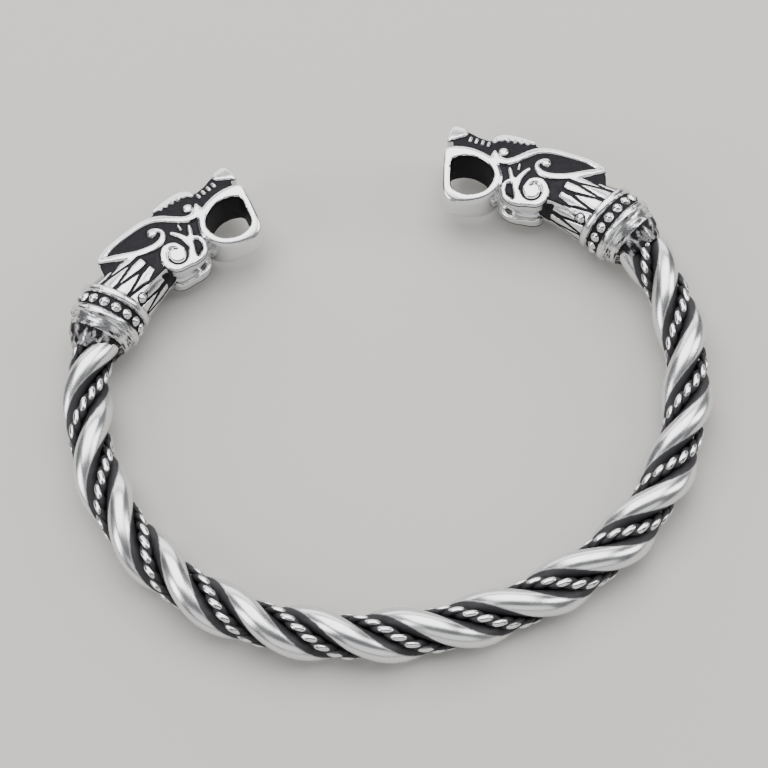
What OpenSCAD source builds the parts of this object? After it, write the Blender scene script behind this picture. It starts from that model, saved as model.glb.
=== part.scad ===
// Viking arm ring: an open cuff of four twisted wires between two cast animal heads.
// It lies on its side: +X is the wearer's right, +Y runs from the back of the ring to the gap, +Z is up.
// The origin is the middle of the bounding box, on the surface that the ring lies on.

/* [Ring] */
// Thickness of the twisted bar
bar_d = 6; // [4.5:0.1:8]
// Radius of the bar's middle line along the back
back_r = 44; // [36:0.5:54]
// Turn of the middle line from the middle of the back to its end, in degrees
back_turn = 20.5; // [12:0.5:28]
// Radius of the middle line round each side
side_r = 29.6; // [24:0.2:36]
// Turn of the middle line from the back to the end of the side, in degrees
side_turn = 79.5; // [65:0.5:85]
// Radius of the middle line beside each head
end_r = 21; // [17:0.5:30]
// Turn of the middle line beside each head, in degrees
end_turn = 26.5; // [20:0.5:34]

/* [Twist] */
// Turns of the wires from one collar to the other
twist_turns = 6.9; // [4:0.1:10]
// Where a smooth wire stands at the middle of the back, in degrees from outward toward the top
twist_start = 69; // [0:1:180]
// Gap between neighbouring wires
wire_gap = 0.12; // [0.1:0.01:0.2]
// How far out the cords reach, as a share of the smooth wires' reach
rope_reach = 0.84; // [0.78:0.01:0.9]
// Length of one full turn of a cord's two plies
rope_lay = 3.6; // [3:0.1:6]

/* [Collar] */
// Diameter over the collar's plain rings
collar_d = 8.7; // [8:0.1:11]
// Distance between the two plain rings of a collar
collar_rings = 2.65; // [2.2:0.05:4]
// Width of a plain ring
ring_w = 0.85; // [0.5:0.05:1.1]
// Beads round one collar
bead_count = 16; // [10:1:18]
// Diameter of a bead
bead_d = 1.24; // [0.8:0.02:1.4]
// Length of the solder behind the collar
solder_l = 1.5; // [0.8:0.1:3]
// Depth of the socket that holds the wires' ends, from the solder's edge
socket_l = 2.6; // [1.5:0.1:3]
// Clearance round the wires in their socket
socket_gap = 0.12; // [0.1:0.01:0.2]
// Clearance between the wires' ends and the socket's floor
floor_gap = 0.45; // [0.4:0.05:0.8]

/* [Head] */
// Length of a head from the start of its neck to the nose
head_l = 21.5; // [18:0.5:26]
// Distance from the collar's middle to the start of the neck
head_ahead = 0.9; // [0.6:0.1:1.4]
// Height of a head from the jaw to the brow
head_h = 11.2; // [9:0.2:13]
// Turn of the head inward from the collar's axis, in degrees
head_turn = 22.5; // [16:0.5:28]
// Thickness of the head at the nose
nose_t = 5.4; // [4.6:0.1:6.5]
// Thickness of the head at the collar
nape_t = 6.8; // [6:0.1:7.6]
// Radius of the cheeks' curve across the head
cheek_r = 14; // [10:0.5:20]
// Height of the relief on the cheeks
relief_h = 0.35; // [0.2:0.05:0.6]
// Width of the hollow between the two faces' ears and brows
crest_w = 2.2; // [1:0.1:3]
// Width of the narrowest raised lines
line_w = 0.42; // [0.3:0.02:0.6]
// Width of the bands round the eye and the ear
band_w = 0.85; // [0.6:0.05:1.1]
// Diameter of the eye
eye_d = 1; // [0.7:0.05:1.3]

/* [Neck] */
// Step from the collar's rings down to the neck
neck_step = 0.6; // [0.55:0.05:1]
// Diameter of the neck inside the head
neck_end_d = 5.4; // [4.5:0.1:5.8]
// Leaves in each of the neck's two rows
leaf_count = 13; // [8:1:16]
// Length of a leaf
leaf_l = 4.2; // [3:0.1:4.8]
// Width of the dark groove between leaves
leaf_gap = 0.46; // [0.2:0.02:0.6]
// Height of the leaves
leaf_h = 0.22; // [0.1:0.02:0.4]

/* [Hidden] */
$fn = 48;

STEEL = [0.80, 0.80, 0.81];
DARK_STEEL = [0.62, 0.62, 0.64];

// The middle line, from the middle of the back to one collar
back_l = back_r * back_turn * PI / 180;
side_l = side_r * side_turn * PI / 180;
end_l = end_r * end_turn * PI / 180;
half_l = back_l + side_l + end_l;
pitch = 2 * half_l / twist_turns;

// Smooth wires: two, side by side across the bar
smooth_d = bar_d / 2 - wire_gap;
smooth_off = (bar_d - smooth_d) / 2;
// A leaning wire's section is wider across the bar than along its radius
smooth_lean = 1 / cos(atan(2 * PI * smooth_off / pitch));
smooth_sides = 12;
smooth_step = 2;

// Cords: each as thick as the groove between the smooth wires lets it be
rope_out = rope_reach * bar_d / 2;
rope_lean = 1.1;
groove_r = smooth_d / 2 * (1 + smooth_lean) / 2 + wire_gap;
rope_a = rope_lean * rope_lean - 1;
rope_b = rope_lean * groove_r + rope_out;
rope_c = groove_r * groove_r - smooth_off * smooth_off - rope_out * rope_out;
rope_r = (sqrt(rope_b * rope_b - rope_a * rope_c) - rope_b) / rope_a;
rope_off = rope_out - rope_r;
// Section of a two-ply cord: across the plies and through them, as shares of the cord's radius
ply_section = [[1, 0], [0.5, 0.5], [-0.5, 0.5], [-1, 0], [-0.5, -0.5], [0.5, -0.5]];
rope_step = rope_lay / 8;

// The wires end inside the collar's socket
solder_back = collar_rings / 2 + ring_w / 2 + solder_l;
wire_end = half_l - solder_back + socket_l - floor_gap;
// The collar is straight, in line with the bar at its seat, a little behind the collar's middle
seat_to_middle = 0.2 * solder_back;
seat = half_l - seat_to_middle;
// The bar curves away from the straight socket by this much at the solder's edge
socket_sag = pow(solder_back - seat_to_middle, 2) / (2 * end_r);
socket_r = bar_d / 2 + socket_sag + socket_gap;
ring_bevel = 0.14 * ring_w;
bead_circle_r = collar_d / 2 - bead_d / 2;
collar_core_r = collar_d / 2 - ring_w * 0.55;
neck_d = collar_d - 2 * neck_step;
// Radius of the solder at the collar, thickness of it at its edge
solder_r = 0.48 * collar_d;
solder_wall = 0.3;
cut = 0.1;

// Where a smooth curve drawn through a table's points is divided
curve_steps = 4;

// Skull and snout under the relief: share of the head's length, share of its height
SKULL = [
    [0.965, 0.350], [0.955, 0.435], [0.895, 0.455], [0.835, 0.425], [0.775, 0.415], [0.735, 0.440],
    [0.690, 0.515], [0.615, 0.550], [0.530, 0.540], [0.470, 0.515], [0.370, 0.515], [0.255, 0.510],
    [0.160, 0.465], [0.080, 0.370], [0.060, 0.050], [0.120, -0.180], [0.250, -0.130], [0.360, -0.110],
    [0.400, -0.170], [0.470, -0.200], [0.545, -0.190], [0.600, -0.120], [0.645, -0.060], [0.662, 0.085],
    [0.710, 0.165], [0.790, 0.215], [0.870, 0.205], [0.925, 0.175], [0.955, 0.225]
];
// Outside of the ringed mouth and its lip
MOUTH = [
    [0.985, 0.155], [0.973, 0.010], [0.940, -0.223], [0.911, -0.350], [0.850, -0.418], [0.753, -0.380],
    [0.668, -0.286], [0.624, -0.143], [0.630, 0.000], [0.672, 0.118], [0.744, 0.200], [0.828, 0.236],
    [0.915, 0.216]
];
// Inside of the mouth
GAPE = [
    [0.926, 0.020], [0.892, 0.082], [0.828, 0.130], [0.757, 0.116], [0.697, 0.052], [0.670, -0.062],
    [0.688, -0.192], [0.744, -0.273], [0.819, -0.302], [0.874, -0.266], [0.897, -0.179], [0.913, -0.071]
];
NOSE = [
    [0.988, 0.228], [1.000, 0.357], [0.993, 0.455], [0.958, 0.482], [0.916, 0.464], [0.898, 0.402],
    [0.926, 0.339], [0.963, 0.277]
];
// Plate behind the cheek's curl, with the jaw below it
CHEEK = [
    [0.347, -0.054], [0.363, 0.031], [0.400, 0.089], [0.442, 0.096], [0.477, 0.054], [0.491, -0.027],
    [0.509, -0.107], [0.526, -0.196], [0.493, -0.255], [0.437, -0.246], [0.386, -0.223], [0.353, -0.161]
];
// Bands and lines: share of the head's length, share of its height, share of the band's width
BROW = [
    [0.740, 0.415, 0.70], [0.729, 0.470, 0.95], [0.692, 0.518, 1.10], [0.635, 0.542, 1.05], [0.578, 0.550, 0.85],
    [0.525, 0.550, 0.55]
];
EYE_BAND = [
    [0.714, 0.268, 0.60], [0.698, 0.210, 1.25], [0.665, 0.183, 1.20], [0.633, 0.188, 1.10], [0.595, 0.232, 1.00],
    [0.558, 0.312, 1.00], [0.516, 0.406, 1.00], [0.470, 0.473, 1.00], [0.405, 0.509, 1.00], [0.302, 0.513, 0.95],
    [0.200, 0.500, 0.90], [0.126, 0.455, 0.90], [0.098, 0.428, 0.60]
];
EAR_BAND = [
    [0.105, 0.424, 0.60], [0.172, 0.348, 1.00], [0.247, 0.254, 1.00], [0.307, 0.196, 1.00], [0.367, 0.163, 1.00],
    [0.419, 0.165, 0.90], [0.453, 0.201, 0.75], [0.465, 0.254, 0.60], [0.456, 0.312, 0.50], [0.433, 0.335, 0.50]
];
CURL_GROOVE = [
    [0.463, -0.018, 0.50], [0.440, 0.027, 0.65], [0.409, 0.009, 0.70], [0.392, -0.045, 0.72], [0.393, -0.107, 0.72],
    [0.416, -0.159, 0.72], [0.456, -0.170, 0.76], [0.488, -0.125, 0.85], [0.509, -0.054, 1.05]
];
STEM = [
    [0.600, 0.112, 0.95], [0.578, 0.040, 1.15], [0.550, -0.040, 1.35], [0.520, -0.134, 1.60], [0.503, -0.205, 1.80]
];
STEM_BRANCH = [[0.497, 0.170, 0.95], [0.521, 0.094, 1.20], [0.535, 0.009, 1.55], [0.537, -0.080, 1.90]];
CHIN_LOOP = [
    [0.567, -0.013, 0.95], [0.595, -0.063, 1.05], [0.598, -0.143, 1.20], [0.577, -0.205, 1.20], [0.535, -0.246, 1.20],
    [0.479, -0.246, 1.20]
];
WHISKER = [[0.557, 0.203, 0.60], [0.553, 0.137, 0.70]];
EYE = [0.667, 0.300];
CURL_DOT = [0.421, 0.317];
curl_dot_share = 0.95;
// Dot on the neck: share of the head's length, turn from the face toward the jaw
NECK_DOT = [0.117, 50];
neck_dot_share = 0.95;
// The neck's second row of leaves starts this many leaf lengths ahead of the first and points back between them
row_step = 1.35;
// A leaf's straight part, as a share of its length, and how far out its root lies, as a share of the neck's radius
leaf_straight = 0.32;
leaf_root = 0.8;
// Wrinkles across the snout, each one further from the nose
wrinkle_count = 4;
wrinkle_first = [0.872, 0.347];
wrinkle_spacing = 0.036;
wrinkle_l = 0.068;
// Teeth along the brow's lower edge
tooth_count = 5;
tooth_first = [0.704, 0.462];
tooth_last = [0.560, 0.512];

// Position and heading along the middle line, by distance s from the middle of the back
function arc_end(p, heading, r, turn) =
    [p[0] + r * (sin(heading + turn) - sin(heading)), p[1] + r * (cos(heading) - cos(heading + turn))];
side_start = arc_end([0, 0], 0, back_r, back_turn);
end_start = arc_end(side_start, back_turn, side_r, side_turn);
function heading_at(s) =
    s < back_l ? back_turn * s / back_l :
    s < back_l + side_l ? back_turn + side_turn * (s - back_l) / side_l :
    back_turn + side_turn + end_turn * (s - back_l - side_l) / end_l;
function half_point(s) =
    s < back_l ? arc_end([0, 0], 0, back_r, heading_at(s)) :
    s < back_l + side_l ? arc_end(side_start, back_turn, side_r, heading_at(s) - back_turn) :
    arc_end(end_start, back_turn + side_turn, end_r, heading_at(s) - back_turn - side_turn);
function bar_point(s) = s < 0 ? [-half_point(-s)[0], half_point(-s)[1], 0] : [half_point(s)[0], half_point(s)[1], 0];
function bar_heading(s) = s < 0 ? -heading_at(-s) : heading_at(s);

// A wire's middle line winds round the bar's: angle from outward toward the top
function wire_angle(s, start) = start - 360 * s / pitch;
function wire_radial(s, start) =
    let (h = bar_heading(s), a = wire_angle(s, start)) [cos(a) * sin(h), -cos(a) * cos(h), sin(a)];
function wire_point(s, start, off) = bar_point(s) + off * wire_radial(s, start);
function wire_tangent(s, start, off) =
    let (d = wire_point(s + 0.01, start, off) - wire_point(s - 0.01, start, off)) d / norm(d);

// One ring of a swept wire: its section, turned by an angle from level and slid along the wire into the bar's plane
function wire_ring(s, start, off, section, turn) =
    let (
        centre = wire_point(s, start, off),
        t = wire_tangent(s, start, off),
        side = cross(t, [0, 0, 1]) / norm(cross(t, [0, 0, 1])),
        out = cross(side, t),
        h = bar_heading(s),
        bar = [cos(h), sin(h), 0]
    )
    [for (p = section)
        let (d = (p[0] * cos(turn) - p[1] * sin(turn)) * out + (p[0] * sin(turn) + p[1] * cos(turn)) * side)
        centre + d - t * (d * bar) / (t * bar)];

module swept(rings) {
    n = len(rings[0]);
    last = len(rings) - 1;
    polyhedron(
        points = [for (ring = rings, p = ring) p],
        faces = concat(
            [[for (i = [0:n - 1]) i]],
            [for (k = [0:last - 1], i = [0:n - 1]) [k * n + i, (k + 1) * n + i, (k + 1) * n + (i + 1) % n]],
            [for (k = [0:last - 1], i = [0:n - 1]) [k * n + i, (k + 1) * n + (i + 1) % n, k * n + (i + 1) % n]],
            [[for (i = [n - 1:-1:0]) last * n + i]]
        ),
        convexity = 10
    );
}

// It lies on the back edges of its collars and on the middle of its back, which tips it by this much
rest_edge = seat_to_middle - collar_rings / 2 - ring_w / 2 + ring_bevel;
rest_y = bar_point(seat)[1] + rest_edge * sin(bar_heading(seat));
tilt = atan((collar_d - bar_d) / 2 / rest_y);
lift = collar_d / 2 * cos(tilt) - rest_y * sin(tilt);
function head_y(p) =
    let (a = bar_heading(half_l) + head_turn)
    bar_point(half_l)[1] + head_ahead * sin(bar_heading(half_l)) + p[0] * head_l * sin(a) - p[1] * head_h * cos(a);
front_y = max([for (p = concat(NOSE, MOUTH)) head_y(p)]);
middle_y = (front_y - bar_d / 2) / 2;

module resting() {
    translate([0, -middle_y * cos(tilt), lift])
        rotate([tilt, 0, 0])
            children();
}

module smooth_strand(start) {
    stations = ceil(2 * wire_end / smooth_step);
    section = [for (i = [0:smooth_sides - 1]) smooth_d / 2 * [cos(360 * i / smooth_sides), sin(360 * i / smooth_sides)]];
    resting()
        swept([for (k = [0:stations])
            wire_ring(wire_end * (2 * k / stations - 1), start, smooth_off, section, 0)]);
}

module rope_strand(start) {
    // Length of the cord for each millimetre of the bar
    stretch = sqrt(1 + pow(2 * PI * rope_off / pitch, 2));
    stations = ceil(2 * wire_end * stretch / rope_step);
    section = rope_r * ply_section;
    resting()
        swept([for (k = [0:stations])
            let (s = wire_end * (2 * k / stations - 1))
            wire_ring(s, start, rope_off, section, -360 * s * stretch / rope_lay)]);
}

// A point on a smooth curve between b and c
function curve_point(a, b, c, d, t) =
    (2 * b + (c - a) * t + (2 * a - 5 * b + 4 * c - d) * t * t + (3 * b - a - 3 * c + d) * t * t * t) / 2;
function closed_curve(rows) =
    let (n = len(rows))
    [for (i = [0:n - 1], k = [0:curve_steps - 1])
        curve_point(rows[(i + n - 1) % n], rows[i], rows[(i + 1) % n], rows[(i + 2) % n], k / curve_steps)];
function open_curve(rows) =
    let (n = len(rows))
    [for (i = [0:n - 2], k = [0:(i == n - 2 ? curve_steps : curve_steps - 1)])
        curve_point(rows[max(i - 1, 0)], rows[i], rows[i + 1], rows[min(i + 2, n - 1)], k / curve_steps)];

function on_head(p) = [p[0] * head_l, p[1] * head_h];

module patch(rows) {
    polygon(closed_curve([for (p = rows) on_head(p)]));
}

// A point beside a band's middle line, turned by an angle from the band's own direction
function beside(line, i, angle) =
    let (
        a = line[max(i - 1, 0)],
        b = line[min(i + 1, len(line) - 1)],
        heading = atan2(b[1] - a[1], b[0] - a[0]) + angle
    )
    [line[i][0] + line[i][2] * cos(heading), line[i][1] + line[i][2] * sin(heading)];

// A band of changing width along a curve, with round ends
module band(rows, width) {
    line = open_curve([for (p = rows) [p[0] * head_l, p[1] * head_h, p[2] * width / 2]]);
    last = len(line) - 1;
    polygon(concat(
        [for (i = [0:last]) beside(line, i, 90)],
        [for (angle = [60:-30:-60]) beside(line, last, angle)],
        [for (i = [last:-1:0]) beside(line, i, -90)],
        [for (angle = [-120:-30:-240]) beside(line, 0, angle)]
    ));
}

// Places things in the head's own plane: X along the head to the nose, Y outward
module at_head() {
    translate(bar_point(half_l))
        rotate(bar_heading(half_l))
            translate([head_ahead, 0, 0])
                rotate(head_turn)
                    mirror([0, 1, 0])
                        children();
}

// Places things round the collar's axis, with Z along it toward the nose from the collar's middle
module at_collar() {
    translate(bar_point(seat))
        rotate(bar_heading(seat))
            rotate([0, 90, 0])
                translate([0, 0, seat_to_middle])
                    children();
}

// The head's two domed faces, raised by the given height
module cheeks(raised) {
    long = 1.2 * head_l;
    back = 0.15 * head_l;
    slope = (nape_t - nose_t) / 2 / head_l;
    crown = 0.09 * head_h;
    nose_r = cheek_r + raised;
    intersection_for (side = [-1, 1])
        translate([-back, crown, side * (cheek_r - nose_t / 2 + relief_h)])
            rotate([0, 90, 0])
                cylinder(h = long, r1 = nose_r + slope * (head_l + back), r2 = nose_r - slope * (long - head_l - back), $fn = 96);
}

// The same raised line on both faces, outside the hollow between them
module on_both_faces() {
    for (side = [0, 1])
        mirror([0, 0, side])
            translate([0, 0, crest_w / 2])
                linear_extrude(nape_t)
                    children();
}

module brow() {
    on_both_faces()
        band(BROW, band_w);
    for (i = [0:tooth_count - 1])
        on_both_faces()
            translate(on_head(tooth_first + (tooth_last - tooth_first) * i / (tooth_count - 1)))
                circle(d = line_w, $fn = 16);
}

module wrinkles() {
    for (i = [0:wrinkle_count - 1])
        on_both_faces()
            translate(on_head(wrinkle_first - [i * wrinkle_spacing, 0]))
                square([line_w * 0.85, wrinkle_l * head_h], center = true);
}

module cheek_relief() {
    on_both_faces()
        difference() {
            patch(CHEEK);
            band(CURL_GROOVE, line_w);
        }
    for (line = [STEM, STEM_BRANCH, CHIN_LOOP, WHISKER])
        on_both_faces()
            band(line, line_w);
}

module eye_and_ear() {
    for (line = [EYE_BAND, EAR_BAND])
        on_both_faces()
            band(line, band_w);
    on_both_faces()
        translate(on_head(EYE))
            circle(d = eye_d);
    on_both_faces()
        translate(on_head(CURL_DOT))
            circle(d = curl_dot_share * eye_d);
}

// Draws an outline through the whole thickness of the head
module through_head() {
    translate([0, 0, -nape_t])
        linear_extrude(2 * nape_t)
            children();
}

module face() {
    intersection() {
        at_head()
            through_head()
                patch(SKULL);
        at_head()
            cheeks(0);
    }
    intersection() {
        at_head() {
            brow();
            wrinkles();
            cheek_relief();
            eye_and_ear();
            through_head()
                difference() {
                    patch(MOUTH);
                    patch(GAPE);
                }
            through_head()
                patch(NOSE);
        }
        at_head()
            cheeks(relief_h);
    }
}

// Placed along the neck's axis, which leans from the collar toward the brow
module at_neck() {
    at_head()
        rotate(atan2(0.14 * head_h, 0.38 * head_l))
            rotate([0, 90, 0])
                children();
}

module neck() {
    neck_l = 0.43 * head_l;
    slope = (neck_d - neck_end_d) / 2 / neck_l;
    // It starts inside the collar, clear of the socket
    start = -0.1 * collar_rings;
    at_neck()
        translate([0, 0, start])
            cylinder(h = neck_l - start, d1 = neck_d - 2 * slope * start, d2 = neck_end_d);
    intersection() {
        at_neck()
            cylinder(h = neck_l, r1 = neck_d / 2 + leaf_h, r2 = neck_end_d / 2 + leaf_h);
        // The leaves start at the front ring
        at_collar()
            translate([0, 0, collar_rings / 2])
                cylinder(h = neck_l, r = collar_d);
        union()
            for (row = [0, 1], i = [0:leaf_count - 1]) {
                base = collar_rings / 2 - head_ahead + (row == 0 ? 0 : leaf_l * row_step);
                width = PI * (neck_d - 2 * slope * base) / leaf_count - leaf_gap;
                at_neck()
                    rotate([0, 0, 360 * (i + row / 2) / leaf_count])
                        translate([leaf_root * (neck_d / 2 - slope * base), 0, base])
                            rotate([90, 0, 90])
                                linear_extrude(neck_d)
                                    leaf(width, row == 0 ? leaf_l : -leaf_l, row == 0 ? -ring_w : 0);
            }
    }
    dot_z = NECK_DOT[0] * head_l;
    for (turn = [-NECK_DOT[1], 180 + NECK_DOT[1]])
        at_neck()
            rotate([0, 0, turn])
                translate([neck_d / 2 - slope * dot_z + leaf_h / 2, 0, dot_z])
                    sphere(d = neck_dot_share * eye_d);
}

// A leaf outline from its base to its tip, tapered where the other row's leaves come between;
// root carries the base on into the collar
module leaf(width, length, root) {
    straight = leaf_straight * length;
    polygon([
        [-width / 2, root], [width / 2, root], [width / 2, straight], [0, length], [-width / 2, straight]
    ]);
}

// A flat disc with bevelled edges
module plain_ring() {
    r = collar_d / 2;
    half = ring_w / 2;
    rotate_extrude()
        polygon([
            [0, -half], [r - ring_bevel, -half], [r, ring_bevel - half],
            [r, half - ring_bevel], [r - ring_bevel, half], [0, half]
        ]);
}

module collar() {
    at_collar()
        difference() {
            union() {
                translate([0, 0, -collar_rings / 2])
                    cylinder(h = collar_rings, r = collar_core_r);
                for (side = [-1, 1])
                    translate([0, 0, side * collar_rings / 2])
                        plain_ring();
                for (i = [0:bead_count - 1])
                    rotate([0, 0, 360 * i / bead_count])
                        translate([bead_circle_r, 0, 0])
                            sphere(d = bead_d, $fn = 32);
                // Solder
                translate([0, 0, -solder_back])
                    cylinder(h = solder_back - collar_rings / 2, r1 = socket_r + solder_wall, r2 = solder_r);
            }
            translate([0, 0, -solder_back - cut])
                cylinder(h = socket_l + cut, r = socket_r);
        }
}

module head() {
    resting() {
        face();
        neck();
        collar();
    }
}

module smooth_strand_1() {
    color(STEEL) smooth_strand(twist_start);
}

module smooth_strand_2() {
    color(STEEL) smooth_strand(twist_start + 180);
}

module rope_strand_1() {
    color(DARK_STEEL) rope_strand(twist_start + 90);
}

module rope_strand_2() {
    color(DARK_STEEL) rope_strand(twist_start + 270);
}

module right_head() {
    color(STEEL) head();
}

module left_head() {
    color(STEEL) mirror([1, 0, 0]) head();
}

smooth_strand_1();
smooth_strand_2();
rope_strand_1();
rope_strand_2();
left_head();
right_head();
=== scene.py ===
import math

import bmesh
import bpy
from mathutils import Matrix, Vector, kdtree, noise


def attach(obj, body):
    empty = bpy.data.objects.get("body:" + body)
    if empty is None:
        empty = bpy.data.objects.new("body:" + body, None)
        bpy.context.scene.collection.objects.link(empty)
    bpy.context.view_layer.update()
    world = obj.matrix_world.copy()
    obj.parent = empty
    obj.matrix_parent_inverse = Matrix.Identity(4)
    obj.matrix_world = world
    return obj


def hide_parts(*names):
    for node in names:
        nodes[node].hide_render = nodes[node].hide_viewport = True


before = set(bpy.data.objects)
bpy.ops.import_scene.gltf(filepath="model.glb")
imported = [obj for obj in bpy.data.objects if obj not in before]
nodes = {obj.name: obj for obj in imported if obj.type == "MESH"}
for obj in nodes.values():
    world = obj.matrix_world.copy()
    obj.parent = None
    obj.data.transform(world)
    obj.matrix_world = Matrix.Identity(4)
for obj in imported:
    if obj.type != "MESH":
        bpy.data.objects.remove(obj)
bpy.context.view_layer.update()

MM = 0.001

# Sizes of the ring in millimetres and its turns in degrees, as the construction has them
BAR_D = 6.0
BACK_R, BACK_TURN = 44.0, 20.5
SIDE_R, SIDE_TURN = 29.6, 79.5
END_R, END_TURN = 21.0, 26.5
TWIST_TURNS = 6.9
TWIST_START = 69.0
WIRE_GAP = 0.12
# How far out a cord reaches, as a share of the bar, and how much wider it is across the bar than along
# its radius
ROPE_REACH = 0.84
ROPE_LEAN = 1.1
ROPE_LAY = 3.6
COLLAR_D = 8.7
COLLAR_RINGS = 2.65
RING_W = 0.85
SOLDER_L = 1.5
SOCKET_L = 2.6
FLOOR_GAP = 0.45
HEAD_L, HEAD_H = 21.5, 11.2
HEAD_TURN = 22.5
HEAD_AHEAD = 0.9
NOSE_T, NAPE_T = 5.4, 6.8
CHEEK_R = 14.0
RELIEF_H = 0.35
CREST_W = 2.2
EYE_D = 1.0
NECK_STEP = 0.6
NECK_END_D = 5.4
LEAF_H = 0.22

# Places on a head, as shares of its length and its height
EYE = (0.667, 0.300)
CURL_DOT = (0.421, 0.317)
MOUTH_MIDDLE = (0.81, -0.08)
NOSE = ((0.988, 0.228), (1.000, 0.357), (0.993, 0.455), (0.958, 0.482), (0.916, 0.464))
CHEEK_MIDDLE = 0.09
# The neck's length, and how far its middle line runs ahead and rises toward the brow, as shares of the head
NECK_SHARE = 0.43
NECK_RUN, NECK_RISE = 0.38, 0.14
# Dot on the neck: share of the head's length, turn from the face toward the jaw
NECK_DOT = (0.117, 50)

BACK_L = math.radians(BACK_TURN) * BACK_R
SIDE_L = math.radians(SIDE_TURN) * SIDE_R
END_L = math.radians(END_TURN) * END_R
HALF_L = BACK_L + SIDE_L + END_L
PITCH = 2 * HALF_L / TWIST_TURNS
SMOOTH_D = BAR_D / 2 - WIRE_GAP
SMOOTH_OFF = (BAR_D - SMOOTH_D) / 2
SOLDER_BACK = COLLAR_RINGS / 2 + RING_W / 2 + SOLDER_L
# The straight collar is in line with the bar a little behind the collar's middle
SEAT_TO_MIDDLE = 0.2 * SOLDER_BACK
RING_BEVEL = 0.14 * RING_W
WIRE_END = HALF_L - SOLDER_BACK + SOCKET_L - FLOOR_GAP
NECK_D = COLLAR_D - 2 * NECK_STEP


def rope_radius():
    """Radius of a cord that fills the groove between the smooth wires."""
    smooth_lean = 1 / math.cos(math.atan(2 * math.pi * SMOOTH_OFF / PITCH))
    groove = SMOOTH_D / 2 * (1 + smooth_lean) / 2 + WIRE_GAP
    out = ROPE_REACH * BAR_D / 2
    a = ROPE_LEAN * ROPE_LEAN - 1
    b = ROPE_LEAN * groove + out
    c = groove * groove - SMOOTH_OFF * SMOOTH_OFF - out * out
    return (math.sqrt(b * b - a * c) - b) / a


ROPE_R = rope_radius()
ROPE_OFF = ROPE_REACH * BAR_D / 2 - ROPE_R


# The bar's middle line, by distance s from the middle of the back
def arc_end(p, heading, r, turn):
    h, t = math.radians(heading), math.radians(turn)
    return (p[0] + r * (math.sin(h + t) - math.sin(h)), p[1] + r * (math.cos(h) - math.cos(h + t)))


SIDE_START = arc_end((0, 0), 0, BACK_R, BACK_TURN)
END_START = arc_end(SIDE_START, BACK_TURN, SIDE_R, SIDE_TURN)


def bar_heading(s):
    d = abs(s)
    if d < BACK_L:
        h = BACK_TURN * d / BACK_L
    elif d < BACK_L + SIDE_L:
        h = BACK_TURN + SIDE_TURN * (d - BACK_L) / SIDE_L
    else:
        h = BACK_TURN + SIDE_TURN + END_TURN * (d - BACK_L - SIDE_L) / END_L
    return math.copysign(h, s)


def bar_point(s):
    d, h = abs(s), abs(bar_heading(s))
    if d < BACK_L:
        x, y = arc_end((0, 0), 0, BACK_R, h)
    elif d < BACK_L + SIDE_L:
        x, y = arc_end(SIDE_START, BACK_TURN, SIDE_R, h - BACK_TURN)
    else:
        x, y = arc_end(END_START, BACK_TURN + SIDE_TURN, END_R, h - BACK_TURN - SIDE_TURN)
    return Vector((math.copysign(x, s), y, 0))


def wire_radial(s, start):
    """Way from the bar's middle line to a wire that starts at this turn."""
    h = math.radians(bar_heading(s))
    a = math.radians(start - 360 * s / PITCH)
    return Vector((math.cos(a) * math.sin(h), -math.cos(a) * math.cos(h), math.sin(a)))


def wire_point(s, start, off):
    return bar_point(s) + off * wire_radial(s, start)


def wire_frame(s, start, off):
    """Middle of a wire, with two directions across it, the first one as near to upright as it can be."""
    step = 0.01
    tangent = (wire_point(s + step, start, off) - wire_point(s - step, start, off)).normalized()
    side = tangent.cross(Vector((0, 0, 1))).normalized()
    return wire_point(s, start, off), side.cross(tangent), side


def stations(step):
    """Distances along the bar from one end of a wire to the other, about this far apart."""
    count = math.ceil(2 * WIRE_END / step)
    return [WIRE_END * (2 * k / count - 1) for k in range(count + 1)]


# The ring lies on the back edges of its collars and the middle of its back
def turned(heading):
    return Matrix.Rotation(math.radians(heading), 4, "Z")


seat_at = bar_point(HALF_L - SEAT_TO_MIDDLE)
seat_heading = bar_heading(HALF_L - SEAT_TO_MIDDLE)
rest_edge = SEAT_TO_MIDDLE - COLLAR_RINGS / 2 - RING_W / 2 + RING_BEVEL
rest_y = seat_at.y + rest_edge * math.sin(math.radians(seat_heading))
TILT = math.atan((COLLAR_D - BAR_D) / 2 / rest_y)
LIFT = COLLAR_D / 2 * math.cos(TILT) - rest_y * math.sin(TILT)

# The right head's own axes: X along it to the nose, Y outward, Z up
HEAD_START = (
    Matrix.Translation(bar_point(HALF_L)) @ turned(bar_heading(HALF_L)) @ Matrix.Translation((HEAD_AHEAD, 0, 0))
)
AT_HEAD = HEAD_START @ turned(HEAD_TURN) @ Matrix.Scale(-1, 4, (0, 1, 0))
# The right neck's own axes: Z along it toward the head
ON_END = Matrix.Rotation(math.pi / 2, 4, "Y")
neck_lean = math.degrees(math.atan2(NECK_RISE * HEAD_H, NECK_RUN * HEAD_L))
AT_NECK = AT_HEAD @ turned(neck_lean) @ ON_END
# The right collar's own axes: Z along it toward the nose
AT_COLLAR = (
    Matrix.Translation(seat_at) @ turned(seat_heading) @ ON_END @ Matrix.Translation((0, 0, SEAT_TO_MIDDLE))
)

front_y = max((AT_HEAD @ Vector((x * HEAD_L, y * HEAD_H, 0))).y for x, y in NOSE)
MIDDLE_Y = (front_y - BAR_D / 2) / 2
RESTING = Matrix.Translation((0, -MIDDLE_Y * math.cos(TILT), LIFT)) @ Matrix.Rotation(TILT, 4, "X")
UNREST = RESTING.inverted()


# Materials
def linear(hex_colour):
    """A colour written as sRGB hex, in the linear values that Blender mixes."""
    parts = [int(hex_colour[i : i + 2], 16) / 255 for i in (1, 3, 5)]
    return tuple(c / 12.92 if c <= 0.04045 else ((c + 0.055) / 1.055) ** 2.4 for c in parts) + (1.0,)


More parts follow.
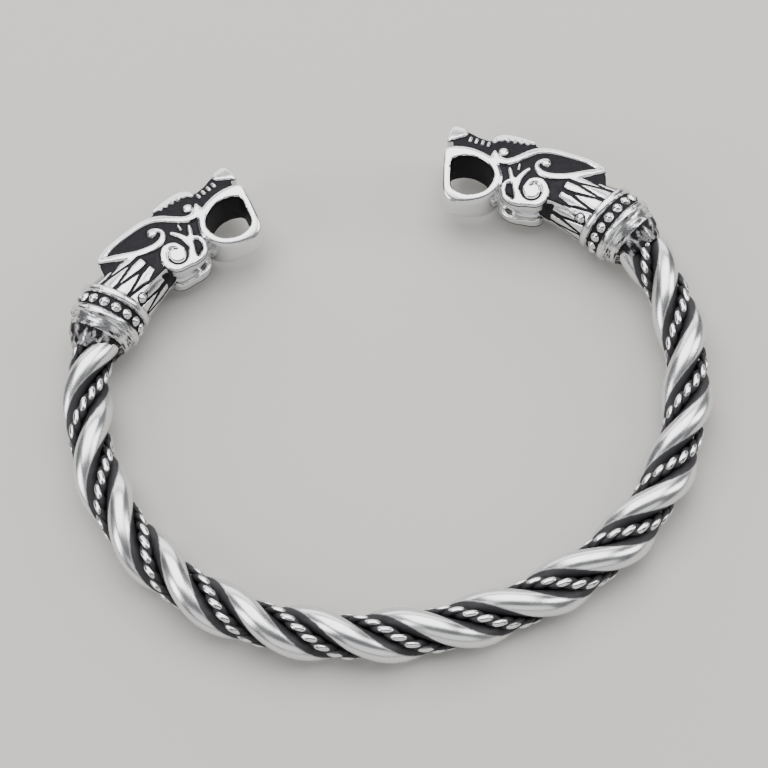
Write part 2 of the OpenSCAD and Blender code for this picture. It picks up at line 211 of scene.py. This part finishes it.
def add(tree, kind, settings=(), links=()):
    """Adds a node, gives it its settings, and links (output socket, input name) pairs into it."""
    made = tree.nodes.new(kind)
    for name, value in dict(settings).items():
        if isinstance(name, str) and hasattr(made, name):
            setattr(made, name, value)
        else:
            made.inputs[name].default_value = value
    for socket, name in links:
        tree.links.new(socket, made.inputs[name])
    return made


def new_material(name):
    material = bpy.data.materials.new(name)
    material.use_nodes = True
    tree = material.node_tree
    tree.nodes.clear()
    return material, tree


# Real sizes of the steel's patterns: patches of oxide, clouds left by a wheel, and the depth of a scratch.
# Scratches are 0.12 mm apart, in the millimetres of a piece's grain.
OXIDE_PATCH = 0.5 * MM
WHEEL_CLOUD = 2 * MM
SCRATCH_DEPTH = 0.01 * MM
SCRATCH_SPACING = 0.12
# The steel shows through over this much of the mark polish on either side
FADE = 0.1
OXIDE_ROUGHNESS = 0.55
# A Mix node's two colour inputs and its colour output, by number
FIRST, SECOND, MIXED = 6, 7, 2


def oxidised_steel(name, oxide, sheen, worn_at, ragged, roughness):
    """Stainless steel blackened with oxide and polished again where a wheel reaches: bright high spots,
    dark matt hollows, and a ragged edge between them. oxide is its darkest and lightest colour, sheen says
    how metallic it looks, and worn_at is the mark of polish from which the steel shows through."""
    material, tree = new_material(name)
    place = add(tree, "ShaderNodeTexCoord").outputs["Object"]
    height = add(tree, "ShaderNodeAttribute", {"attribute_name": "polish"}).outputs["Fac"]
    grain = add(tree, "ShaderNodeAttribute", {"attribute_name": "grain"}).outputs["Vector"]
    patches = add(
        tree,
        "ShaderNodeTexNoise",
        {"Scale": 1 / OXIDE_PATCH, "Detail": 5, "Roughness": 0.65},
        [(place, "Vector")],
    ).outputs["Fac"]
    scratches = add(
        tree,
        "ShaderNodeTexNoise",
        {"Scale": 1 / SCRATCH_SPACING, "Detail": 3, "Roughness": 0.6},
        [(grain, "Vector")],
    ).outputs["Fac"]
    # Patches and scratches both make the oxide's edge ragged
    shift = {"To Min": -ragged, "To Max": ragged}
    spread = add(tree, "ShaderNodeMapRange", shift, [(patches, "Value")]).outputs[0]
    fray = add(tree, "ShaderNodeMapRange", shift, [(scratches, "Value")]).outputs[0]
    reach = add(tree, "ShaderNodeMath", {"operation": "ADD"}, [(height, 0), (spread, 1)]).outputs[0]
    edge = add(tree, "ShaderNodeMath", {"operation": "ADD"}, [(reach, 0), (fray, 1)]).outputs[0]
    shine = add(
        tree,
        "ShaderNodeMapRange",
        {"interpolation_type": "SMOOTHSTEP", "From Min": worn_at - FADE, "From Max": worn_at + FADE},
        [(edge, "Value")],
    ).outputs[0]
    steel = add(
        tree,
        "ShaderNodeMix",
        {"data_type": "RGBA", FIRST: linear("#cfd0d3"), SECOND: linear("#f4f4f3")},
        [(scratches, 0)],
    ).outputs[MIXED]
    black = add(
        tree,
        "ShaderNodeMix",
        {"data_type": "RGBA", FIRST: linear(oxide[0]), SECOND: linear(oxide[1])},
        [(patches, 0)],
    ).outputs[MIXED]
    colour = add(
        tree, "ShaderNodeMix", {"data_type": "RGBA"}, [(shine, 0), (black, FIRST), (steel, SECOND)]
    ).outputs[MIXED]
    # A hand-polished surface is cloudy
    clouds = add(
        tree, "ShaderNodeTexNoise", {"Scale": 1 / WHEEL_CLOUD, "Detail": 3}, [(place, "Vector")]
    ).outputs["Fac"]
    smooth = add(
        tree,
        "ShaderNodeMapRange",
        {"To Min": roughness * 0.7, "To Max": roughness * 1.4},
        [(clouds, "Value")],
    ).outputs[0]
    rough = add(
        tree, "ShaderNodeMix", {"data_type": "FLOAT", 2: OXIDE_ROUGHNESS}, [(shine, 0), (smooth, 3)]
    ).outputs[0]
    metal = add(tree, "ShaderNodeMapRange", {"To Min": sheen}, [(shine, "Value")]).outputs[0]
    bump = add(
        tree, "ShaderNodeBump", {"Strength": 0.3, "Distance": SCRATCH_DEPTH}, [(scratches, "Height")]
    ).outputs[0]
    surface = add(
        tree,
        "ShaderNodeBsdfPrincipled",
        {},
        [(colour, "Base Color"), (metal, "Metallic"), (rough, "Roughness"), (bump, "Normal")],
    )
    add(tree, "ShaderNodeOutputMaterial", {}, [(surface.outputs[0], "Surface")])
    return material


# Drawn wire, wheel-polished after the oxide: long soft streaks of light, and black down in the twist
WIRE_STEEL = oxidised_steel("drawn_steel_oxidised", ("#1f1e21", "#39383b"), 0.3, 0.5, 0.06, 0.24)
# Fine drawn wire in two plies: a bright lozenge where the wheel touches each ply, and black between them
CORD_STEEL = oxidised_steel("fine_wire_steel_oxidised", ("#1f1e21", "#39383b"), 0.3, 0.5, 0.06, 0.2)
# Cast steel, blackened and wheel-polished: bright relief on a deep black that still gleams like metal
HEAD_STEEL = oxidised_steel("cast_steel_blackened", ("#1a191c", "#323134"), 1.0, 0.36, 0.06, 0.2)


# Pieces
def finished(name, mesh, material, body, slot_name, *stands_for):
    """Lays a mesh in the ring's millimetres down to rest, as a smooth piece that stands for CAD nodes."""
    mesh.transform(RESTING)
    mesh.transform(Matrix.Scale(MM, 4))
    mesh.materials.clear()
    mesh.materials.append(material)
    mesh.polygons.foreach_set("use_smooth", [True] * len(mesh.polygons))
    mesh.update()
    piece = bpy.data.objects.new(name, mesh)
    bpy.context.scene.collection.objects.link(piece)
    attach(piece, body)
    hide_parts(*stands_for)
    return piece


def shown_mesh(holder):
    """Mesh that an object shows, with its modifiers or its thickness worked in. The object goes."""
    bpy.context.scene.collection.objects.link(holder)
    bpy.context.view_layer.update()
    made = bpy.data.meshes.new_from_object(holder.evaluated_get(bpy.context.evaluated_depsgraph_get()))
    bpy.data.objects.remove(holder)
    return made


def mark(mesh, name, kind, values):
    """Keeps one number or vector for each point, for the material to read."""
    layer = mesh.attributes.new(name, kind, "POINT")
    if kind == "FLOAT":
        layer.data.foreach_set("value", values)
    else:
        layer.data.foreach_set("vector", [part for value in values for part in value])


# The twist
# Distances from the bar's middle line: a wire is black up to the first and bright from the second on
WIRE_WORN = (1.95, 2.95)
CORD_WORN = (2.11, 2.51)
# Radius of a ply, as a share of its cord's
PLY_SHARE = 0.6
# How far apart the points along a wire, along a ply and for the marks are
WIRE_STEP, PLY_STEP, MARK_STEP = 0.6, 0.22, 0.2
# Scratches are drawn out along a wire, because the grain runs this much slower that way
ALONG_GRAIN = 0.06
BAR_STEPS = 1000


def tubes(name, lines, radius, sides):
    """Mesh of round wires along lines of points in the ring's own millimetres."""
    curve = bpy.data.curves.new(name, "CURVE")
    curve.dimensions = "3D"
    curve.bevel_depth = radius
    curve.bevel_resolution = sides // 4
    curve.use_fill_caps = True
    for line in lines:
        spline = curve.splines.new("POLY")
        spline.points.add(len(line) - 1)
        for point, place in zip(spline.points, line):
            point.co = (*place, 1)
    mesh = shown_mesh(bpy.data.objects.new(name, curve))
    bpy.data.curves.remove(curve)
    built = bmesh.new()
    built.from_mesh(mesh)
    bmesh.ops.remove_doubles(built, verts=built.verts, dist=0.001)
    bmesh.ops.recalc_face_normals(built, faces=built.faces)
    built.to_mesh(mesh)
    built.free()
    return mesh


def tree_of(points):
    """Tree that finds the nearest of these points."""
    tree = kdtree.KDTree(len(points))
    for i, point in enumerate(points):
        tree.insert(point, i)
    tree.balance()
    return tree


bar_line = tree_of([bar_point(HALF_L * (i / BAR_STEPS - 1)) for i in range(2 * BAR_STEPS + 1)])


def mark_wire(mesh, start, off, worn):
    """Marks a wire's points: polish from 0 down in the twist to 1 where the wheel reaches, and the grain."""
    dark, bright = worn
    places = stations(MARK_STEP)
    middle_line = tree_of([wire_point(s, start, off) for s in places])
    polish, grain = [], []
    for v in mesh.vertices:
        reach = bar_line.find(v.co)[2]
        polish.append(min(max((reach - dark) / (bright - dark), 0), 1))
        s = places[middle_line.find(v.co)[1]]
        middle, out, side = wire_frame(s, start, off)
        from_middle = v.co - middle
        grain.append((ALONG_GRAIN * s, from_middle @ out, from_middle @ side))
    mark(mesh, "polish", "FLOAT", polish)
    mark(mesh, "grain", "FLOAT_VECTOR", grain)


def smooth_strand(number):
    start = TWIST_START + 180 * (number - 1)
    line = [wire_point(s, start, SMOOTH_OFF) for s in stations(WIRE_STEP)]
    name = f"smooth_strand_{number}"
    mesh = tubes(name + "_wire", [line], SMOOTH_D / 2, 36)
    mark_wire(mesh, start, SMOOTH_OFF, WIRE_WORN)
    return finished(name + "_wire", mesh, WIRE_STEEL, "root", "polished_wire", name)


def rope_strand(number):
    """A cord of two plies that turn round each other as they follow the groove."""
    start = TWIST_START + 90 + 180 * (number - 1)
    stretch = math.sqrt(1 + (2 * math.pi * ROPE_OFF / PITCH) ** 2)
    ply_r = ROPE_R * PLY_SHARE
    lines = []
    for ply in (0, 1):
        line = []
        for s in stations(PLY_STEP):
            middle, out, side = wire_frame(s, start, ROPE_OFF)
            turn = math.radians(180 * ply - 360 * s * stretch / ROPE_LAY)
            line.append(middle + (ROPE_R - ply_r) * (math.cos(turn) * out + math.sin(turn) * side))
        lines.append(line)
    name = f"rope_strand_{number}"
    mesh = tubes(name + "_cord", lines, ply_r, 12)
    mark_wire(mesh, start, ROPE_OFF, CORD_WORN)
    return finished(name + "_cord", mesh, CORD_STEEL, "root", "oxidised_cord", name)


# The casting
FACE_SLOPE = (NAPE_T - NOSE_T) / 2 / HEAD_L
NECK_L = NECK_SHARE * HEAD_L
TO_HEAD, TO_COLLAR, TO_NECK = AT_HEAD.inverted(), AT_COLLAR.inverted(), AT_NECK.inverted()
OF_HEAD = AT_HEAD.to_3x3()
FRONT_EDGE = COLLAR_RINGS / 2 + RING_W / 2
BACK_RING = -(COLLAR_RINGS - RING_W) / 2
mouth_middle = AT_HEAD @ Vector((MOUTH_MIDDLE[0] * HEAD_L, MOUTH_MIDDLE[1] * HEAD_H, 0))

# Parts of the head, as shares of its length and height: the jaws and the crest of the brow
JAWS_FROM = 0.62
JAWS_TOP, JAW_WALLS_TOP = 0.24, 0.2
CREST_FROM, CREST_TO, CREST_FOOT = 0.4, 0.72, 0.25
# How far down the cheek's curl reaches
CURL_FOOT = -0.13
# Share of the relief up to which a place counts as a hollow, and above which as its top
HOLLOW, TOP = 0.2, 0.4
# A leaf is black up to the first height, as a share of its own, and bright the second one above that
LEAF_BLACK, LEAF_FADE = 0.6, 0.7
# A dot on the neck is bright and its outline black up to these distances, as shares of an eye
DOT_BRIGHT, DOT_BLACK = 0.55, 0.75
# An outer wall's polish, and how fast it fades to black below the relief
WALL_POLISH, WALL_FADE, WALL_BLACK = 0.7, 2.2, 0.2
# Depth under the beads' tops up to which they are bright, and over which that fades
BEAD_DEPTH, BEAD_FADE = 0.47, 0.25
# Lumps in millimetres across the bar and along it: streaks round the solder's ring, fingers of solder
# between the wires, and the unevenness of both
STREAKS, FINGERS = (1.6, 0.25), (0.8, 2.0)
RING_LUMPS, FINGER_LUMPS = (1.6, 0.3), (0.9, 2.0)
RING_ROUGH, FINGER_ROUGH = 0.07, 0.2
# An eye's dome in millimetres, how much it swells, and how far the swelling reaches in radii of the eye
DOME_H, SWELL, SPOT_REACH = 0.1, 0.22, 1.7
# Size of a voxel in millimetres, and the share of the faces that is kept after that
VOXEL, KEPT = 0.1, 0.72
ROUNDS, JAW_ROUNDS = 10, 30


def neck_radius(z):
    return (NECK_D + (NECK_END_D - NECK_D) * z / NECK_L) / 2


def over_face(x, y, z):
    """Height over the face's hollows, as a share of the relief: 1 on its lines, under 0 down its walls."""
    across = math.hypot(y - CHEEK_MIDDLE * HEAD_H, abs(z) + CHEEK_R - NOSE_T / 2 + RELIEF_H)
    return (across - CHEEK_R - FACE_SLOPE * (HEAD_L - x)) / RELIEF_H


def over_neck(x, y, z):
    """Height over the neck, as a share of its leaves."""
    return (math.hypot(x, y) - neck_radius(z)) / LEAF_H


def lumps(place, across, along):
    """Unevenness from about -1 to 1, in lumps of these millimetres across the bar and along it."""
    return noise.fractal(Vector((place.x / across, place.y / across, place.z / along)), 0.7, 2.0, 4)


dot_z = NECK_DOT[0] * HEAD_L
dot_out = neck_radius(dot_z) + LEAF_H / 2
NECK_DOTS = [
    Vector((dot_out * math.cos(math.radians(turn)), dot_out * math.sin(math.radians(turn)), dot_z))
    for turn in (-NECK_DOT[1], 180 + NECK_DOT[1])
]


def neck_polish(neck):
    """How bright the neck's leaves and dots are, each with a dark outline."""
    from_dot = min((neck - dot).length for dot in NECK_DOTS) / EYE_D
    if from_dot < DOT_BRIGHT:
        return 1
    return 0 if from_dot < DOT_BLACK else (over_neck(*neck) - LEAF_BLACK) / LEAF_FADE


def face_polish(v):
    """How bright the casting is worn at a point of the head or the neck."""
    x, y, z = TO_HEAD @ v.co
    neck = TO_NECK @ v.co
    face = over_face(x, y, z)
    in_hollow = abs(face) < HOLLOW and y > CURL_FOOT * HEAD_H
    if -0.3 < over_neck(*neck) < 3 and 0 < neck.z < NECK_L and not in_hollow:
        return neck_polish(neck)
    on_crest = y > CREST_FOOT * HEAD_H and CREST_FROM * HEAD_L < x < CREST_TO * HEAD_L
    if abs(z) < 0.4 * CREST_W and on_crest:
        return 1
    if abs(v.normal.z) < 0.6 and x > JAWS_FROM * HEAD_L and y < JAW_WALLS_TOP * HEAD_H:
        # A wheel polishes the jaws from outside and leaves the inside of the mouth black
        return 0 if v.normal.dot(mouth_middle - Vector((v.co.x, v.co.y, 0))) > 0 else 1
    # Down an outer wall the wheel reaches again
    return max(face, min(WALL_POLISH, -WALL_FADE * face - WALL_BLACK))


def casting_polish(v):
    """How bright the casting is worn at any point, from 0 to 1 and a little beyond."""
    place = TO_COLLAR @ v.co
    if place.z > FRONT_EDGE:
        return face_polish(v)
    if place.z > BACK_RING:
        return (math.hypot(place.x, place.y) - COLLAR_D / 2 + BEAD_DEPTH) / BEAD_FADE
    if place.z > -SOLDER_BACK:
        return 0.45 + 0.25 * lumps(place, *STREAKS)
    return 0.28 + 0.16 * lumps(place, *FINGERS)


def shaped(v):
    """Where a point of the casting goes: eyes and dots are domed and swell a little, the solder and the ring
    beside it are uneven."""
    place = TO_COLLAR @ v.co
    if place.z < BACK_RING:
        run_out = min(max((-place.z - SOLDER_BACK) / 0.4 + 0.5, 0), 1)
        rough = FINGER_ROUGH * run_out * lumps(place, *FINGER_LUMPS)
        rough += RING_ROUGH * (1 - run_out) * lumps(place, *RING_LUMPS)
        return v.co + rough * v.normal
    x, y, z = TO_HEAD @ v.co
    face = over_face(x, y, z)
    for along, across in (EYE, CURL_DOT):
        from_spot = Vector((x - along * HEAD_L, y - across * HEAD_H, 0))
        off = from_spot.length / (EYE_D / 2)
        if off < SPOT_REACH and face > -0.3:
            dome = DOME_H * math.sqrt(1 - off * off) if off < 1 and face > TOP else 0
            swell = SWELL * min(1, (SPOT_REACH - off) / (SPOT_REACH - 1) / off)
            return v.co + OF_HEAD @ (swell * from_spot) + Vector((0, 0, math.copysign(dome, z)))
    return v.co


def soften(mesh):
    """Rounds the edges as casting and polishing do, most of all on the jaws' ring."""
    built = bmesh.new()
    built.from_mesh(mesh)
    ways = {"factor": 0.5, "use_axis_x": True, "use_axis_y": True, "use_axis_z": True}
    for _ in range(ROUNDS):
        bmesh.ops.smooth_vert(built, verts=built.verts, **ways)
    jaws = []
    for v in built.verts:
        x, y, z = TO_HEAD @ v.co
        if x > JAWS_FROM * HEAD_L and y < JAWS_TOP * HEAD_H:
            jaws.append(v)
    for _ in range(JAW_ROUNDS):
        bmesh.ops.smooth_vert(built, verts=jaws, **ways)
    built.to_mesh(mesh)
    built.free()


def solder(built):
    """Solder that fills the socket and runs out between the wires behind the collar."""
    plug_r = BAR_D / 2 + 0.4
    plug_middle = Matrix.Translation((0, 0, SOCKET_L / 2 - SOLDER_BACK))
    run = 2.4
    middle = HALF_L - SOLDER_BACK - run / 2 + 0.3
    run_middle = Matrix.Translation(bar_point(middle)) @ turned(bar_heading(middle)) @ ON_END
    for back_r, front_r, length, place in (
        (plug_r, plug_r, SOCKET_L + 0.2, AT_COLLAR @ plug_middle),
        (0.4 * BAR_D, BAR_D / 2 + 0.65, run, run_middle),
    ):
        bmesh.ops.create_cone(
            built, cap_ends=True, segments=48, radius1=back_r, radius2=front_r, depth=length, matrix=place
        )


def modified(mesh, kind, coarse=(), **settings):
    """A copy of a mesh with one modifier worked into it. coarse are the points that it may thin out."""
    holder = bpy.data.objects.new(mesh.name, mesh)
    modifier = holder.modifiers.new(kind, kind)
    if coarse:
        holder.vertex_groups.new(name="coarse").add(coarse, 1.0, "REPLACE")
        modifier.vertex_group = "coarse"
    for name, value in settings.items():
        setattr(modifier, name, value)
    return shown_mesh(holder)


def drop_specks(mesh):
    """Deletes the closed specks, a voxel across, that lie apart from the rest of the mesh."""
    built = bmesh.new()
    built.from_mesh(mesh)
    ahead = [max(built.verts, key=lambda v: v.co.x)]
    ahead[0].tag = True
    while ahead:
        for edge in ahead.pop().link_edges:
            for v in edge.verts:
                if not v.tag:
                    v.tag = True
                    ahead.append(v)
    bmesh.ops.delete(built, geom=[v for v in built.verts if not v.tag], context="VERTS")
    built.to_mesh(mesh)
    built.free()


def alike(mesh, values):
    """Points whose surroundings are all polished as they are, where fewer points still show the same."""
    sides = [tuple(edge.vertices) for edge in mesh.edges]
    changing = [False] * len(mesh.vertices)
    for a, b in sides:
        if abs(values[a] - values[b]) > 0.02:
            changing[a] = changing[b] = True
    for _ in range(2):
        wider = list(changing)
        for a, b in sides:
            if changing[a] or changing[b]:
                wider[a] = wider[b] = True
        changing = wider
    return [i for i, changes in enumerate(changing) if not changes]


def casting():
    """The right head as it is cast: every edge of the construction softened, with its solder."""
    built = bmesh.new()
    built.from_mesh(nodes["right_head"].data)
    bmesh.ops.remove_doubles(built, verts=built.verts, dist=0.002 * MM)
    bmesh.ops.transform(built, matrix=UNREST @ Matrix.Scale(1 / MM, 4), verts=built.verts)
    solder(built)
    mesh = bpy.data.meshes.new("casting")
    built.to_mesh(mesh)
    built.free()
    cast = modified(mesh, "REMESH", mode="VOXEL", voxel_size=VOXEL)
    drop_specks(cast)
    polish = [min(max(casting_polish(v), 0), 1) for v in cast.vertices]
    mark(cast, "polish", "FLOAT", polish)
    mark(cast, "grain", "FLOAT_VECTOR", [tuple(v.co) for v in cast.vertices])
    places = [shaped(v) for v in cast.vertices]
    cast.vertices.foreach_set("co", [part for place in places for part in place])
    soften(cast)
    return modified(cast, "DECIMATE", alike(cast, polish), ratio=KEPT)


def head(name, mesh):
    return finished(name + "_casting", mesh, HEAD_STEEL, "root", "cast_head", name)


for number in (1, 2):
    smooth_strand(number)
    rope_strand(number)

right = casting()
left = right.copy()
left.transform(Matrix.Scale(-1, 4, (1, 0, 0)))
left.flip_normals()
head("right_head", right)
head("left_head", left)


# Stage
def plain_floor():
    """Matt paper, four metres each way: no gloss, so the ring's own shine stands out."""
    built = bmesh.new()
    bmesh.ops.create_grid(built, x_segments=1, y_segments=1, size=2.0)
    mesh = bpy.data.meshes.new("floor")
    built.to_mesh(mesh)
    built.free()
    material, tree = new_material("matt_paper")
    surface = add(tree, "ShaderNodeBsdfPrincipled", {"Base Color": linear("#bcbab6"), "Roughness": 0.8})
    add(tree, "ShaderNodeOutputMaterial", {}, [(surface.outputs[0], "Surface")])
    mesh.materials.append(material)
    floor = bpy.data.objects.new("floor", mesh)
    bpy.context.scene.collection.objects.link(floor)


def soft_box(name, place, width, height, power):
    """A flat lamp that looks at the ring."""
    lamp = bpy.data.lights.new(name, "AREA")
    lamp.shape = "RECTANGLE"
    lamp.size = width
    lamp.size_y = height
    lamp.energy = power
    holder = bpy.data.objects.new(name, lamp)
    bpy.context.scene.collection.objects.link(holder)
    holder.location = place
    holder.rotation_mode = "QUATERNION"
    holder.rotation_quaternion = Vector(place).to_track_quat("Z", "Y")


def studio():
    """Soft lamps all round, in metres and watts, in a dim grey room."""
    soft_box("overhead_lamp", (0.0, 0.25, 0.62), 0.8, 0.7, 8.0)
    soft_box("front_lamp", (0.0, -0.6, 0.3), 1.0, 0.45, 1.5)
    soft_box("back_lamp", (0.0, 0.75, 0.25), 1.2, 0.35, 3.5)
    soft_box("left_lamp", (-0.6, -0.15, 0.35), 0.3, 0.5, 2.5)
    soft_box("right_lamp", (0.6, 0.0, 0.4), 0.3, 0.5, 2.5)
    world = bpy.data.worlds.new("studio")
    world.use_nodes = True
    room = world.node_tree.nodes["Background"]
    room.inputs["Color"].default_value = linear("#a4a6aa")
    room.inputs["Strength"].default_value = 0.35
    bpy.context.scene.world = world


# The photograph's frame: its side in pixels, the pixel that the camera aims at, and the scale there
PHOTO_SIDE = 768
AIM_PIXEL = (393.4, 402.8)
PIXELS_PER_MM = 8.740
SENSOR_W = 36


def camera():
    """The photograph's place and lens, found from the ring's own outline."""
    elevation, yaw, roll = (math.radians(a) for a in (67.10, -9.58, -1.83))
    distance = 180.0
    aim = Vector((0, 27.0, 0))
    flat = math.cos(elevation)
    back = Vector((math.sin(yaw) * flat, -math.cos(yaw) * flat, math.sin(elevation)))
    level = Vector((math.cos(yaw), math.sin(yaw), 0))
    upright = back.cross(level)
    right_way = math.cos(roll) * level + math.sin(roll) * upright
    up_way = back.cross(right_way)
    place = Matrix((right_way, up_way, back)).transposed().to_4x4()
    place.translation = aim + distance * back
    place = RESTING @ place
    place.translation *= MM
    lens = bpy.data.cameras.new("camera")
    lens.sensor_width = SENSOR_W
    lens.lens = SENSOR_W * PIXELS_PER_MM * distance / PHOTO_SIDE
    lens.shift_x = (PHOTO_SIDE / 2 - AIM_PIXEL[0]) / PHOTO_SIDE
    lens.shift_y = (AIM_PIXEL[1] - PHOTO_SIDE / 2) / PHOTO_SIDE
    lens.clip_start = 0.01
    lens.clip_end = 10
    holder = bpy.data.objects.new("camera", lens)
    holder.matrix_world = place
    bpy.context.scene.collection.objects.link(holder)
    bpy.context.scene.camera = holder


plain_floor()
studio()
camera()
